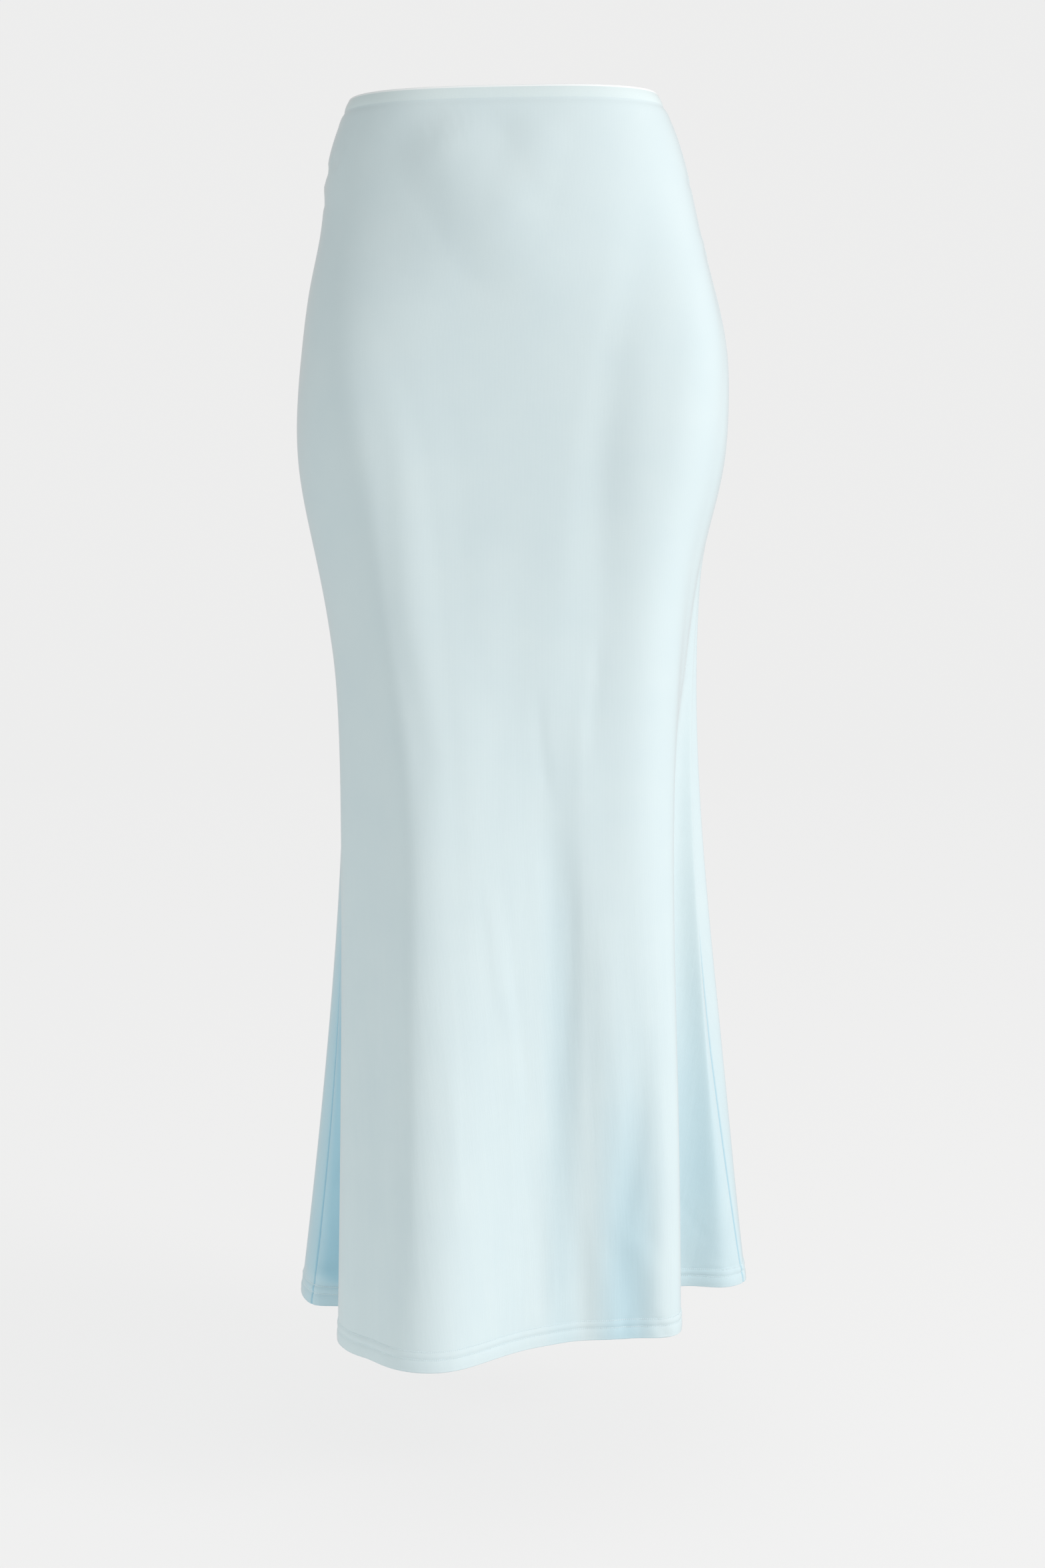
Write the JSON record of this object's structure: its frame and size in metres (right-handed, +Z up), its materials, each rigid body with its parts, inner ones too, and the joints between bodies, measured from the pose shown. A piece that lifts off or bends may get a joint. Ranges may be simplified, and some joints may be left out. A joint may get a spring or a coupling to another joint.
{
  "type": "mermaid fishtail maxi skirt",
  "caption": "Fitted jersey maxi skirt, worn form: narrow elasticated waist edge, side seams, and a fishtail hem that falls in soft folds below the knee.",
  "frame": {"origin": "centre of the waist opening, level with its edge", "axes": "+Z up along the skirt's length, -Y towards the front, +X to the right as seen from the front"},
  "size_m": [0.384, 0.4957, 1.0033],
  "materials": {
    "jersey": "smooth matte double knit jersey with a faint lengthwise rib and a soft sheen",
    "waist_casing": "the same jersey turned over a narrow elastic"
  },
  "bodies": {
    "root": {"front_panel": "jersey", "back_panel": "jersey", "waist_casing": "waist_casing"}
  },
  "joints": []
}
